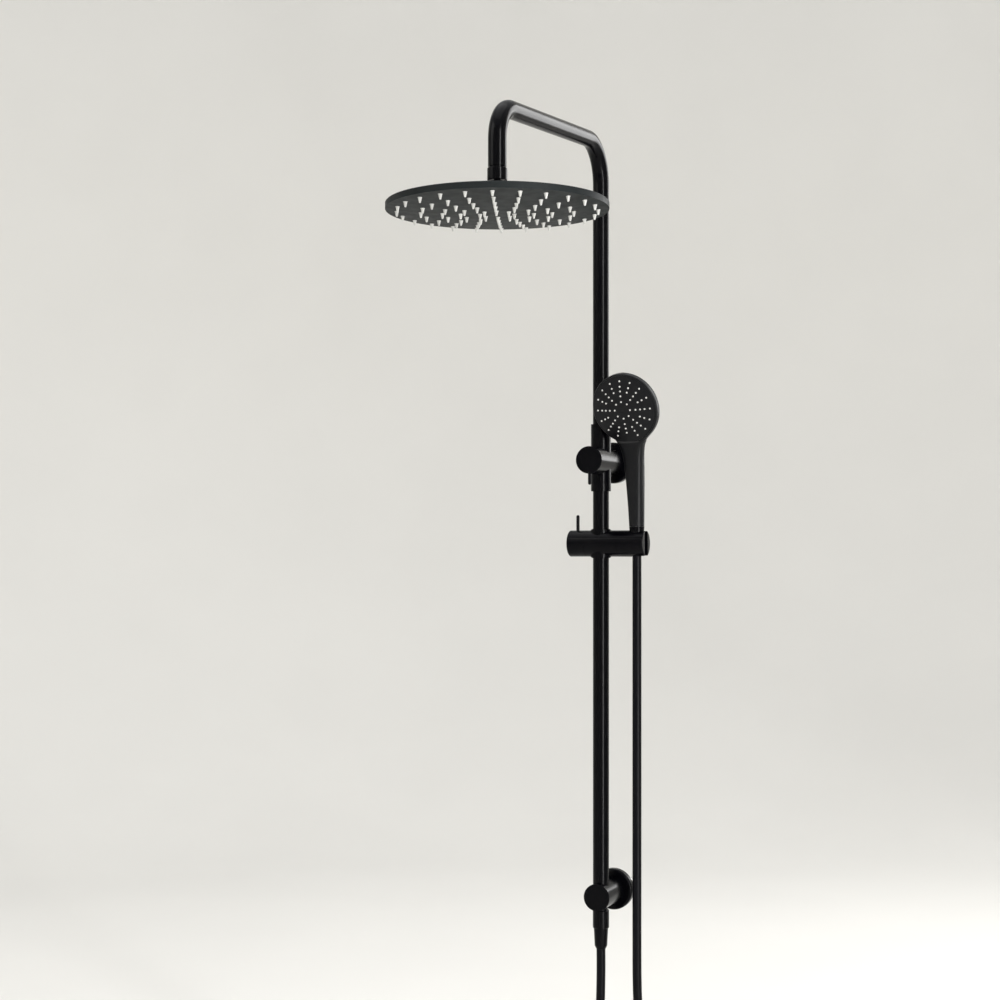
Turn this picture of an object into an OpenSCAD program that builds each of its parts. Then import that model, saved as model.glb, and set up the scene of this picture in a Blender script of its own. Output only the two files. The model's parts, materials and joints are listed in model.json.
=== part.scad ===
// Rainfall shower column: gooseneck riser, rain head, diverter, lower pole, slider, handset and hose.
// Frame: the wall is the plane y = 0 and the room is towards -Y, +X is to the right and +Z is up.
// The origin is on the wall, on the axis of the upper bracket.

/* [Column] */
// Outside diameter of the riser and of the lower pole
pole_d = 25; // [22:0.5:30]
// Wall of the riser and of the lower pole
pole_wall = 1.5; // [1:0.1:2]
// Distance from the wall to the axis of the pole
pole_out = 65; // [60:1:90]
// Distance between the axes of the two wall brackets
bracket_gap = 675; // [600:5:900]

/* [Gooseneck arm] */
// Height of the arm above the upper bracket, measured at the riser
arm_h = 495; // [400:5:620]
// Horizontal reach from the riser to the rain head
arm_reach = 420; // [330:5:520]
// Slope of the arm down towards the head, degrees
arm_slope = 4.8; // [0:0.2:8]
// Centreline radius of the bend above the riser
rear_bend_r = 60; // [40:1:70]
// Centreline radius of the bend above the head
front_bend_r = 50; // [32:1:60]
// Length of the arm's nose below the corner of its two lines
nose_len = 83; // [70:1:120]

/* [Rain head] */
// Diameter of the rain head
head_d = 300; // [230:5:360]
// Height of the rain head's upright rim
head_rim = 9; // [7:0.5:14]
// Bulge of the spray plate below its rim
head_bulge = 6; // [2:0.5:10]
// Height of the boss on top of the rain head
boss_h = 24; // [18:1:34]
// Distance of the rain head's top below the swivel nut
head_gap = 30; // [28:1:44]
// Diameter of the swivel's ball
ball_d = 15; // [14:0.5:17]

/* [Brackets] */
// Diameter of the diverter body
body_d = 40; // [37:0.5:46]
// Wall of the diverter's two sleeves around the pole
sleeve_wall = 3.1; // [2.6:0.1:5]
// Top of the upper sleeve above the bracket's axis
sleeve_up = 57.4; // [50:0.2:80]
// Bottom of the lower sleeve below the bracket's axis
sleeve_down = 46.5; // [44:0.5:70]
// Diameter of the wall flanges
flange_d = 65; // [58:1:80]
// Depth of the wall flanges
flange_t = 12; // [8:0.5:18]
// Diameter of the diverter knob
knob_d = 42; // [40:0.5:48]
// Distance of the knob's face ahead of the pole's axis
knob_out = 57; // [44:1:70]
// Diameter of the lever pins
lever_d = 5.2; // [4:0.2:7]
// Length of the diverter's lever pin outside its knob
lever_len = 17; // [10:1:30]
// Diameter of the lower bracket's body
foot_d = 41; // [37:0.5:46]
// Depth of the lower bracket ahead of the pole
foot_front = 9; // [8.5:0.5:18]

/* [Slider] */
// Height of the slider's axis, from the upper bracket's axis
slider_z = -127.7; // [-400:0.1:-120]
// Diameter of the slider
slider_d = 41; // [38:0.5:50]
// Distance from the pole's axis to the left end of the slider's middle body
slider_left = 22; // [20:1:30]
// Distance from the pole's axis to the right end of the slider's middle body
slider_right = 31; // [27:1:40]
// Length of the clamp knob
clamp_len = 28; // [26:1:45]
// Length of the clamp knob's lever pin outside its knob
clamp_lever_len = 24; // [10:1:35]
// Distance from the pole's axis to the handset's axis
holder_x = 58.7; // [56:0.1:80]
// Thickness of the holder's wall beside its slot
holder_lip = 3.3; // [3:0.1:8]
// Width of the holder's side slot
slot_w = 15.6; // [15:0.2:18]
// Lean of the holder's bore towards the room, degrees
holder_lean = 2; // [0:0.5:8]

/* [Handset] */
// Diameter of the handset's round face
face_d = 109; // [90:1:131]
// Bulge of the handset's face
face_bulge = 8; // [3:0.5:10]
// Thickness of the handset's side wall, front to back
face_rim = 10; // [6:0.5:13]
// Distance of the handset's face centre ahead of the handle's axis
face_out = 44; // [42:0.5:56]
// Height of the handset's face centre above the slider's axis
face_h = 203.6; // [190:0.2:240]
// Lean of the face, degrees
face_tilt = 19.6; // [8:0.2:26]
// Turn of the handset about its handle at rest, degrees
face_turn = 9; // [0:1:11]
// Diameter of the cone nut at the handset's foot
cone_top_d = 23.5; // [23:0.1:25]
// Diameter of the cone nut at the hose
cone_low_d = 18.6; // [17:0.1:20]

/* [Hose] */
// Outside diameter of the hose
hose_d = 14; // [12:0.5:15]
// Diameter of the outlet nut
outlet_d = 25.4; // [24:0.2:30]

/* [Hidden] */
$fn = 64;

// Clearances
run_gap = 0.06;
part_gap = 0.3;
fit_gap = 0.1;
seat = 0.02;

// Half-inch pipe thread, nominal outside radius
g12_r = 10.48;
water_r = 7;

pole_r = pole_d / 2;
tube_in_r = pole_r - pole_wall;
body_r = body_d / 2;
sleeve_r = pole_r + sleeve_wall;
foot_r = foot_d / 2;
slider_r = slider_d / 2;
lever_r = lever_d / 2;
knob_r = knob_d / 2;

// Spigot: the grooved brass end that a tube carries inside its socket
spigot_len = 21;
spigot_shank = 12;
groove_w = 2.6;
groove_deep = 2.3;
ring_r = 1.1;
ring_at = [4, 9];
catch_at = 15;
catch_deep = 1.2;

// Corner points of the arm in its own plane: [y from the pole's axis, z]
corner_front = [-arm_reach, arm_h - arm_reach * tan(arm_slope)];
rear_tan = rear_bend_r * tan((90 + arm_slope) / 2);
front_tan = front_bend_r * tan((90 - arm_slope) / 2);
riser_low = sleeve_up - 4;
nose_z = corner_front[1] - nose_len;

// Swivel
nut_r = 13.5;
groove_gap = 2;
ball_r = ball_d / 2;
ring_wall = 1;
shell_r = ball_r + ring_wall;
nut_top = nose_z - groove_gap;
nut_len = 17;
lip_h = 1.3;
seat_h = 5.4;
ball_z = nut_top - nut_len + lip_h + seat_h;
ledge_h = 2.6;
neck_r = 4.2;
washer_t = 1.6;

// Rain head
head_r = head_d / 2;
head_top = nut_top - nut_len - head_gap;
head_low = head_top - head_rim;
shell_wall = 1.8;
plate_t = 1.2;
mat_t = 1;
plate_r = head_r - shell_wall - fit_gap;
boss_r = 11;
boss_foot_r = 30;
nozzle_root_r = 2.5;
nozzle_tip_r = 1.25;
nozzle_len = 7;
head_rings = [[0.9, 24], [0.683, 20], [0.49, 16], [0.327, 12], [0.153, 8]];
nozzle_turn = 20;

// Diverter, measured along Y from the wall
pole_y = -pole_out;
knob_face = pole_y - knob_out;
body_front = pole_y - sleeve_r - 0.4;
boss_front = body_front - 18.5;
cup_r = 17.5;
hub_wall = 8;
nipple_out = 18;
nipple_in = 20;
body_rear = -2;
// Relief groove between the nipple's two threads
relief_w = 1.6;
relief_r = 9.2;
socket_up = sleeve_up - 4 - spigot_len - 1;
socket_down = -(sleeve_down - 4 - spigot_len - 1);

// Lower bracket
foot_z = -bracket_gap;
foot_face = pole_y - pole_r - foot_front;
foot_cap_t = 4;
foot_tube_z = foot_z + 15;
wall_plate_t = 3;
stub_r = 10.5;
stub_len = 24;
screw_r = 2.4;
screw_pcd = 49;
screw_count = 3;
screw_out = 35;
outlet_top = foot_z - foot_r - 1.5;
outlet_nipple_low = foot_z - foot_r - 16.5;
outlet_low = foot_z - 82;

// Slider
collar_h = 2;
collar_wall = 3.7;
collar_r = pole_r + collar_wall;
bush_wall = 1.5;
clamp_r = 4;
clamp_x = -slider_left - part_gap;
lever_x = -38;
holder_left = slider_right + part_gap;
holder_right = holder_x + cone_top_d / 2 + holder_lip;
pivot_r = 6;
cone_up = 26;
cone_down = 18;

// Handset, in a frame whose origin is on the slider's axis, with Z up the handle
face_r = face_d / 2;
stub_h = 11;
handle_low_r = cone_top_d / 2;

// Hose: hand-chosen route from the cone nut down, round and up into the outlet nut
hose_route = [
    [58.7, -146], [58.7, -170], [58.7, -200], [58.7, -235], [58.7, -280], [58.7, -340], [58.7, -400],
    [58.7, -460], [58.7, -530], [58.7, -600], [58.7, -670], [58.7, -740], [59, -800], [61, -850], [67, -905],
    [77, -955], [88, -1000], [96, -1043], [99, -1083], [94, -1112], [80, -1136], [58, -1152], [32, -1157],
    [6, -1152], [-16, -1136], [-30, -1112], [-36, -1083], [-33, -1043], [-26, -1000], [-16, -955], [-7, -905],
    [-1.5, -850], [0, -800], [0, -757]];

// ---------- shared shapes ----------

module tube(r_out, r_in, h) {
    difference() {
        cylinder(r = r_out, h = h);
        translate([0, 0, -1]) cylinder(r = r_in, h = h + 2);
    }
}

// Cylinder along Y from y0 (front) to y1 (back)
module bar_y(r, y0, y1) {
    translate([0, y1, 0]) rotate([90, 0, 0]) cylinder(r = r, h = y1 - y0);
}

// Cylinder along X from x0 to x1
module bar_x(r, x0, x1) {
    translate([x0, 0, 0]) rotate([0, 90, 0]) cylinder(r = r, h = x1 - x0);
}

// Places its children on the pole's axis at a height
module on_pole(z) {
    translate([0, pole_y, z]) children();
}

// Ring of points of radius r about c, square to direction d; n is the normal of the path's plane
function ring(c, d, n, r, sides) = let (s = cross(d, n))
    [for (k = [0:sides - 1]) let (a = 360 * k / sides) c + r * cos(a) * s + r * sin(a) * n];

// Walls between consecutive rings, the first ring starting at point number base
function ring_walls(base, rings, sides) = [for (i = [0:rings - 2]) for (k = [0:sides - 1])
    let (j = (k + 1) % sides, p = base + i * sides) [p + k, p + j, p + sides + j, p + sides + k]];

// A rod swept along centres with directions dirs
module swept_rod(centres, dirs, n, r, sides) {
    rings = len(centres);
    points = [for (i = [0:rings - 1]) each ring(centres[i], dirs[i], n, r, sides)];
    ends = [[for (k = [sides - 1:-1:0]) k], [for (k = [0:sides - 1]) (rings - 1) * sides + k]];
    polyhedron(points, concat(ring_walls(0, rings, sides), ends));
}

// A tube swept along centres with directions dirs
module swept_tube(centres, dirs, n, r, r_in, sides) {
    rings = len(centres);
    last = (rings - 1) * sides;
    inner = rings * sides;
    points = [for (q = [r, r_in]) for (i = [0:rings - 1]) each ring(centres[i], dirs[i], n, q, sides)];
    inner_walls = [for (f = ring_walls(inner, rings, sides)) [f[3], f[2], f[1], f[0]]];
    ends = [for (k = [0:sides - 1]) let (j = (k + 1) % sides) each [
        [j, k, inner + k, inner + j], [last + k, last + j, inner + last + j, inner + last + k]]];
    polyhedron(points, concat(ring_walls(0, rings, sides), inner_walls, ends));
}

// Grooved tube end, tip at z = 0 and the tube's end at z = spigot_len
module spigot() {
    difference() {
        union() {
            cylinder(r = pole_r, h = spigot_len);
            cylinder(r = tube_in_r - fit_gap, h = spigot_len + spigot_shank);
        }
        translate([0, 0, -1]) cylinder(r = water_r, h = spigot_len + spigot_shank + 2);
        for (z = ring_at)
            translate([0, 0, z - groove_w / 2]) ring_cut(pole_r - groove_deep, groove_w);
        translate([0, 0, catch_at - 2]) ring_cut(pole_r - catch_deep, 4);
    }
}

module ring_cut(floor_r, w) {
    tube(pole_r + 1, floor_r, w);
}

module o_rings() {
    for (z = ring_at)
        translate([0, 0, z]) rotate_extrude() translate([pole_r - ring_r - seat, 0]) circle(r = ring_r, $fn = 24);
}

// Wall flange: a thin cup open to the wall, axis along Y, front at y = -flange_t
module wall_flange(hole_r) {
    rotate([90, 0, 0]) difference() {
        rotate_extrude() flange_profile();
        translate([0, 0, -1]) cylinder(r = hole_r, h = flange_t + 2);
    }
}

module flange_profile() {
    r = flange_d / 2;
    edge = 4;
    wall = 2;
    difference() {
        union() {
            square([r, flange_t - edge]);
            square([r - edge, flange_t]);
            translate([r - edge, flange_t - edge]) circle(r = edge);
        }
        translate([0, -edge]) square([r - wall, flange_t - wall]);
    }
}

// Round bar with its far edge softened, from z = 0 to z = h
module soft_bar(r, h, edge) {
    rotate_extrude() union() {
        square([r, h - edge]);
        square([r - edge, h]);
        translate([r - edge, h - edge]) circle(r = edge, $fn = 24);
    }
}

// Lever pin of length len with a rounded end, pointing up
module lever(len) {
    cylinder(r = lever_r, h = len - lever_r);
    translate([0, 0, len - lever_r]) sphere(r = lever_r, $fn = 32);
}

// ---------- riser, arm and swivel ----------

// Gooseneck centreline as [y from the pole's axis, z, heading], the heading measured from +Y
function arc_stations(cy, cz, r, a0, a1, n = 9) = [for (i = [0:n]) let (a = a0 + (a1 - a0) * i / n)
    [cy + r * cos(a), cz + r * sin(a), a + 90]];

gooseneck = concat(
    [[0, riser_low, 90]],
    arc_stations(-rear_bend_r, arm_h - rear_tan, rear_bend_r, 0, 90 + arm_slope),
    arc_stations(-arm_reach + front_bend_r, corner_front[1] - front_tan, front_bend_r, 90 + arm_slope, 180),
    [[-arm_reach, nose_z, 270]]);

module riser() {
    centres = [for (g = gooseneck) [0, pole_y + g[0], g[1]]];
    dirs = [for (g = gooseneck) [0, cos(g[2]), sin(g[2])]];
    color("#17181b") swept_tube(centres, dirs, [1, 0, 0], pole_r, tube_in_r, 40);
}

module riser_spigot() {
    color("#b08d4a") on_pole(riser_low - spigot_len) spigot();
}

module riser_o_rings() {
    color("#222222") on_pole(riser_low - spigot_len) o_rings();
}

// Places its children at the rain head's axis at a height
module on_nose(z) {
    translate([0, pole_y - arm_reach, z]) children();
}

module arm_nipple() {
    low = ball_z + ledge_h + washer_t;
    color("#1a1b1e") on_nose(low) difference() {
        union() {
            cylinder(r = g12_r, h = nose_z - low);
            translate([0, 0, nose_z - low]) cylinder(r = tube_in_r - fit_gap, h = 14);
        }
        translate([0, 0, -1]) cylinder(r = shell_r + fit_gap, h = 5);
        translate([0, 0, 3]) cylinder(r = water_r, h = nose_z - low + 14);
    }
}

module swivel_nut() {
    bore = g12_r + fit_gap;
    base = nut_top - nut_len;
    lip_r = sqrt(pow(shell_r + run_gap, 2) - pow(seat_h, 2));
    color("#121316") on_nose(0) difference() {
        translate([0, 0, base]) soft_nut();
        translate([0, 0, ball_z]) sphere(r = shell_r + run_gap, $fn = 96);
        translate([0, 0, ball_z]) cylinder(r = shell_r + run_gap, h = ledge_h + 1);
        translate([0, 0, ball_z + ledge_h]) cylinder(r = bore, h = nut_len);
        translate([0, 0, base - 1]) cylinder(r1 = lip_r + 1.6, r2 = lip_r - 0.2, h = lip_h + 1.2);
    }
}

module soft_nut() {
    rotate_extrude() union() {
        translate([0, 1]) square([nut_r, nut_len - 2]);
        square([nut_r - 1, nut_len]);
        translate([nut_r - 1, 1]) circle(r = 1, $fn = 24);
        translate([nut_r - 1, nut_len - 1]) circle(r = 1, $fn = 24);
    }
}

module nut_washer() {
    color("#2b2b2b") on_nose(ball_z + ledge_h) tube(g12_r, shell_r + fit_gap, washer_t);
}

// Spherical seat ring that turns in the nut and holds the ball
module ball_ring() {
    color("#e8e6df") on_nose(ball_z) difference() {
        intersection() {
            sphere(r = shell_r, $fn = 96);
            translate([0, 0, -4.4]) cylinder(r = shell_r + 1, h = 5.4);
        }
        sphere(r = ball_r + run_gap, $fn = 96);
    }
}

module ball_joint() {
    neck_low = head_top + boss_h - 9;
    color("#1a1b1e") on_nose(0) difference() {
        union() {
            translate([0, 0, ball_z]) sphere(r = ball_r, $fn = 96);
            translate([0, 0, neck_low]) cylinder(r = neck_r, h = ball_z - neck_low);
            translate([0, 0, neck_low]) cylinder(r = boss_r - 3.4, h = 7);
        }
        translate([0, 0, neck_low - 1]) cylinder(r = 2.5, h = ball_z - neck_low + ball_r + 2);
    }
}

// ---------- rain head ----------

// Drop of the spray plate's face below the rim, at radius r
function plate_drop(r) = head_bulge * (1 - pow(r / head_r, 2));

function plate_arc(r_max, z, n = 14) = [for (i = [0:n]) let (r = r_max * i / n) [r, z - plate_drop(r)]];

function reversed(v) = [for (i = [len(v) - 1:-1:0]) v[i]];

module plate_sheet(r_max, z, t) {
    rotate_extrude($fn = 128) polygon(concat(plate_arc(r_max, z), reversed(plate_arc(r_max, z + t))));
}

module at_head_nozzles() {
    for (ring = head_rings)
        for (i = [0:ring[1] - 1])
            rotate([0, 0, 90 + nozzle_turn + 360 * i / ring[1]])
                translate([ring[0] * head_r, 0, -plate_drop(ring[0] * head_r)]) children();
}

module head_shell() {
    edge = 1.2;
    color("#2f3332") on_nose(head_low) rotate_extrude($fn = 128) difference() {
        polygon([[0, -1], [head_r, -1], [head_r, 0], [head_r, head_rim - edge], [head_r - edge, head_rim],
            [boss_foot_r + 20, head_rim + 0.8], [boss_foot_r, head_rim + 3], [boss_r + 6, head_rim + 9],
            [boss_r, head_rim + boss_h - 2], [boss_r - 1.2, head_rim + boss_h], [0, head_rim + boss_h]]);
        translate([0, -2]) square([head_r + 1, 2]);
        polygon([[0, -3], [head_r - shell_wall, -3], [head_r - shell_wall, head_rim - shell_wall],
            [boss_foot_r + 18, head_rim + 0.8 - shell_wall], [boss_foot_r - 2, head_rim + 3 - shell_wall],
            [boss_r + 3.6, head_rim + 8 - shell_wall], [boss_r - 3.3, head_rim + boss_h - 10],
            [boss_r - 3.3, head_rim + boss_h - 1.8], [neck_r + 0.2, head_rim + boss_h - 1.8],
            [neck_r + 0.2, head_rim + boss_h + 1], [0, head_rim + boss_h + 1]]);
    }
}

module head_plate() {
    color("#2f3332") on_nose(head_low) difference() {
        plate_sheet(plate_r, 0.2, plate_t);
        at_head_nozzles() translate([0, 0, -4]) cylinder(r = nozzle_root_r + fit_gap, h = 12, $fn = 24);
    }
}

module head_nozzles() {
    lift = 0.2 + plate_t + seat;
    color("#c9c9c7") on_nose(head_low) {
        plate_sheet(head_r * 0.93, lift, mat_t);
        at_head_nozzles() translate([0, 0, lift - nozzle_len - 0.6])
            cylinder(r1 = nozzle_tip_r, r2 = nozzle_root_r, h = nozzle_len + 1, $fn = 20);
    }
}

module head_seal() {
    seal_r = plate_r - 1;
    color("#3a3a3a") on_nose(head_low + 0.2 + plate_t) translate([0, 0, -plate_drop(seal_r) + 0.6])
        tube(seal_r, seal_r - 2.5, head_rim - shell_wall - plate_t - 0.4 - 0.4);
}

// ---------- diverter ----------

module diverter_body() {
    color("#121316") difference() {
        union() {
            bar_y(body_r, body_front, body_rear);
            bar_y(cup_r - part_gap - 0.5, boss_front, body_front + 1);
            on_pole(-sleeve_down) cylinder(r = sleeve_r, h = sleeve_down + sleeve_up);
        }
        bar_y(g12_r + fit_gap, body_rear - nipple_in, body_rear + 1);
        bar_y(g12_r + fit_gap, body_rear - nipple_in - 2, body_rear - nipple_in + 0.5);
        bar_y(water_r, pole_y, body_rear - nipple_in);
        on_pole(socket_down - 1) cylinder(r = water_r, h = socket_up - socket_down + 2);
        on_pole(socket_up) cylinder(r = pole_r + run_gap, h = sleeve_up);
        on_pole(-sleeve_down - 1) cylinder(r = pole_r + run_gap, h = sleeve_down + socket_down + 1);
        bar_y(14, boss_front - 1, pole_y - 3);
        sleeve_screw_holes();
    }
}

// Heights of the two set screws: they sit in the catch grooves of the spigots
catch_up = riser_low - spigot_len + catch_at;
catch_down = -(sleeve_down - 4 - spigot_len + catch_at);

module sleeve_screw_holes() {
    for (z = [catch_up, catch_down])
        translate([0, pole_y, z]) rotate([-90, 0, 0]) cylinder(r = 2.1, h = sleeve_r + 1);
}

module set_screw(r_from, r_to) {
    rotate([-90, 0, 0]) difference() {
        union() {
            translate([0, 0, r_from]) cylinder(r = 1.2, h = r_to - r_from);
            translate([0, 0, pole_r + 0.4]) cylinder(r = 2, h = r_to - pole_r - 0.4);
        }
        translate([0, 0, r_to - 1.6]) cylinder(r = 1, h = 2, $fn = 6);
    }
}

module sleeve_screws() {
    color("#3b3b3d")
    for (z = [catch_up, catch_down])
        on_pole(z) set_screw(pole_r - catch_deep + 0.3, sleeve_r - 0.2);
}

module wall_nipple() {
    color("#b08d4a") difference() {
        bar_y(g12_r, body_rear - nipple_in, nipple_out);
        bar_y(water_r, body_rear - nipple_in - 1, nipple_out + 1);
        difference() {
            bar_y(g12_r + 1, -relief_w, 0);
            bar_y(relief_r, -relief_w - 1, 1);
        }
    }
}

module inlet_washer() {
    y1 = body_rear - nipple_in;
    color("#2b2b2b") difference() {
        bar_y(g12_r, y1 - 2, y1);
        bar_y(water_r, y1 - 3, y1 + 1);
    }
}

module upper_flange() {
    color("#141518") wall_flange(body_r + fit_gap);
}

module diverter_cartridge() {
    color("#e3e0d6") difference() {
        bar_y(14 - fit_gap, boss_front + 3, pole_y - 3);
        bar_y(4 + run_gap, boss_front, pole_y - 6);
        for (s = [-1, 1]) translate([0, 0, s * 8.5]) bar_y(2.6, pole_y - 8, pole_y - 2);
    }
}

module cartridge_nut() {
    color("#b08d4a") difference() {
        bar_y(14 - fit_gap, boss_front, boss_front + 3);
        bar_y(4.6, boss_front - 1, boss_front + 4);
    }
}

module diverter_spindle() {
    color("#c7a55a") bar_y(4, knob_face + 3, pole_y - 8);
}

module diverter_knob() {
    pin_y = knob_face + 5;
    color("#0f1013") difference() {
        translate([0, body_front - part_gap, 0]) rotate([90, 0, 0])
            soft_bar(knob_r, body_front - part_gap - knob_face, 1);
        bar_y(cup_r, knob_face + hub_wall, body_front + 1);
        bar_y(4 + seat, knob_face + 3, body_front);
        translate([0, pin_y, -knob_r - 1]) cylinder(r = lever_r + seat, h = 10);
    }
}

module diverter_pin() {
    pin_y = knob_face + 5;
    color("#0f1013") translate([0, pin_y, -knob_r + 9]) rotate([180, 0, 0]) lever(lever_len + 9);
}

// ---------- lower pole and lower bracket ----------

pole_top = -sleeve_down + 4;

module pole() {
    color("#17181b") on_pole(foot_tube_z) tube(pole_r, tube_in_r, pole_top - foot_tube_z);
}

module at_pole_ends() {
    on_pole(pole_top + spigot_len) rotate([180, 0, 0]) children();
    on_pole(foot_tube_z - spigot_len) children();
}

module pole_spigots() {
    color("#b08d4a") at_pole_ends() spigot();
}

module pole_o_rings() {
    color("#222222") at_pole_ends() o_rings();
}

module foot_body() {
    color("#121316") translate([0, 0, foot_z]) difference() {
        bar_y(foot_r, foot_face + foot_cap_t, -wall_plate_t);
        bar_y(stub_r + fit_gap, -wall_plate_t - stub_len, 0);
        bar_y(16, foot_face, foot_face + foot_cap_t + 3.4);
        translate([0, pole_y, -foot_r - 1]) cylinder(r = water_r, h = foot_r + 1);
        translate([0, pole_y, 15 - spigot_len - 1]) cylinder(r = pole_r + run_gap, h = foot_r * 2);
        translate([0, pole_y, -foot_r - 1]) cylinder(r = g12_r + fit_gap, h = 12);
        translate([0, -16, -foot_r - 1]) cylinder(r = 2.1, h = foot_r - stub_r + 1.5);
    }
}

module foot_cap() {
    color("#0f1013") translate([0, foot_face + foot_cap_t, foot_z]) rotate([90, 0, 0]) {
        soft_bar(foot_r + 0.5, foot_cap_t, 1);
        translate([0, 0, -3]) cylinder(r = 16 - fit_gap, h = 4);
    }
}

module foot_flange() {
    color("#141518") translate([0, 0, foot_z]) wall_flange(foot_r + fit_gap);
}

module wall_plate() {
    color("#8d8f92") translate([0, 0, foot_z]) difference() {
        union() {
            bar_y(28, -wall_plate_t, 0);
            bar_y(stub_r, -wall_plate_t - stub_len, -1);
        }
        at_wall_screws() bar_y(screw_r + 0.1, -wall_plate_t - 1, 1);
        translate([0, -16, -stub_r - 1]) cylinder(r = 1.3, h = 3);
    }
}

module at_wall_screws() {
    for (i = [0:screw_count - 1])
        rotate([0, 90 + 360 * i / screw_count, 0]) translate([screw_pcd / 2, 0, 0]) children();
}

module wall_screws() {
    color("#a9abad") translate([0, 0, foot_z]) at_wall_screws() difference() {
        union() {
            bar_y(screw_r - 0.2, -wall_plate_t - 1, 1);
            bar_y(screw_r, 0, screw_out);
            bar_y(4, -wall_plate_t - 2.6, -wall_plate_t);
        }
        translate([0, -wall_plate_t - 3, 0]) rotate([-90, 0, 0]) cylinder(r = 1.6, h = 1.8, $fn = 6);
    }
}

module foot_screw() {
    color("#3b3b3d") translate([0, -16, foot_z]) rotate([180, 0, 0]) difference() {
        translate([0, 0, stub_r]) cylinder(r = 2, h = foot_r - stub_r - 0.8);
        translate([0, 0, foot_r - 2.2]) cylinder(r = 1, h = 2, $fn = 6);
    }
}

module outlet_nipple() {
    color("#1a1b1e") on_pole(outlet_nipple_low) tube(g12_r, water_r, foot_z - foot_r + 11 - outlet_nipple_low);
}

module outlet_washer() {
    color("#2b2b2b") on_pole(outlet_nipple_low - 2) tube(g12_r, 5, 2);
}

module outlet_nut() {
    r = outlet_d / 2;
    neck = r - 1.5;
    top = outlet_top - outlet_low;
    color("#121316") on_pole(outlet_low) difference() {
        rotate_extrude() polygon([[0, 0], [hose_d / 2 + 0.6, 0], [9.8, 4.5], [neck, 32], [r - 0.8, 32],
            [r, 32.8], [r, top - 0.8], [r - 0.8, top], [0, top]]);
        translate([0, 0, -1]) cylinder(r = 5, h = 100);
        translate([0, 0, outlet_nipple_low - 2 - outlet_low]) cylinder(r = g12_r + fit_gap, h = 100);
    }
}

// ---------- slider ----------

// Places its children on the slider's axis at the pole
module on_slider() {
    translate([0, pole_y, slider_z]) children();
}

module slider_body() {
    color("#121316") on_slider() difference() {
        union() {
            bar_x(slider_r, -slider_left, slider_right);
            cylinder(r = collar_r - 1.4, h = slider_r + collar_h);
            cylinder(r = collar_r, h = slider_r + collar_h - 1.4);
            translate([0, 0, -slider_r - collar_h]) cylinder(r = collar_r - 1.4, h = slider_r);
            translate([0, 0, -slider_r - collar_h + 1.4]) cylinder(r = collar_r, h = slider_r);
        }
        translate([0, 0, -slider_r - collar_h - 1])
            cylinder(r = pole_r + run_gap + bush_wall + seat, h = 2 * (slider_r + collar_h + 1));
        bar_x(clamp_r + run_gap, -slider_left - 1, -pole_r);
        bar_x(pivot_r + run_gap, slider_right - 12, slider_right + 1);
        bar_x(14.2, slider_right - 1.5, slider_right + 1);
    }
}

module slide_bush() {
    half = slider_r + collar_h - 0.6;
    color("#4a4b4d") on_slider() difference() {
        translate([0, 0, -half]) tube(pole_r + run_gap + bush_wall, pole_r + run_gap, 2 * half);
        bar_x(clamp_r + 0.2, -pole_r - bush_wall - 2, 0);
    }
}

module brake_pad() {
    color("#3a3a3c") on_slider() intersection() {
        bar_x(clamp_r - seat, -pole_r - 3.2, -pole_r + 3);
        difference() {
            translate([0, 0, -8]) cylinder(r = pole_r + 3, h = 16);
            translate([0, 0, -9]) cylinder(r = pole_r + run_gap, h = 18);
        }
    }
}

module clamp_screw() {
    color("#8d8f92") on_slider() bar_x(clamp_r, clamp_x - clamp_len + 8, -pole_r - 3.3);
}

module clamp_knob() {
    color("#0f1013") on_slider() difference() {
        translate([clamp_x, 0, 0]) rotate([0, -90, 0]) soft_bar(slider_r, clamp_len, 1.6);
        bar_x(clamp_r + seat, clamp_x - clamp_len + 8, clamp_x + 1);
        translate([lever_x, 0, slider_r - 9]) cylinder(r = lever_r + seat, h = 12);
    }
}

module clamp_pin() {
    color("#0f1013") on_slider() translate([lever_x, 0, slider_r - 9]) lever(clamp_lever_len + 9);
}

module holder_washer() {
    color("#d9d6cc") on_slider() difference() {
        bar_x(14, slider_right - 1.5, holder_left);
        bar_x(pivot_r + 0.2, slider_right - 2, holder_left + 1);
    }
}

module holder_pivot() {
    color("#8d8f92") on_slider() bar_x(pivot_r, slider_right - 11.5, holder_x - cone_top_d / 2 - 3);
}

// Frame of the holder's bore: origin on the slider's axis, Z up the leaning bore
module on_bore() {
    translate([holder_x, pole_y, slider_z]) rotate([holder_lean, 0, 0]) children();
}

function cone_r(w) = cone_low_d / 2 + (cone_top_d - cone_low_d) / 2 * (w + cone_down) / (cone_up + cone_down);

module holder() {
    reach = slider_r + 3;
    color("#121316") difference() {
        on_slider() translate([holder_left, 0, 0]) rotate([0, 90, 0])
            soft_bar(slider_r, holder_right - holder_left, 1.6);
        on_slider() bar_x(pivot_r + seat, holder_left - 1, holder_x - cone_top_d / 2 - 3);
        on_bore() translate([0, 0, -reach])
            cylinder(r1 = cone_r(-reach) + part_gap, r2 = cone_r(reach) + part_gap, h = 2 * reach);
        on_bore() translate([0, -slot_w / 2, -reach]) cube([40, slot_w, 2 * reach]);
    }
}

// ---------- handset ----------

// Frame of the handset: the bore's frame, turned about the handle
module on_handset() {
    on_bore() rotate([0, 0, -face_turn]) children();
}

module cone_nut() {
    color("#121316") on_bore() difference() {
        translate([0, 0, -cone_down])
            cylinder(r1 = cone_low_d / 2, r2 = cone_top_d / 2, h = cone_up + cone_down);
        translate([0, 0, cone_up - stub_h - 1.6]) cylinder(r = g12_r + 0.08, h = stub_h + 3);
        translate([0, 0, -cone_down - 1]) cylinder(r = 5, h = cone_up + cone_down);
    }
}

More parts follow.
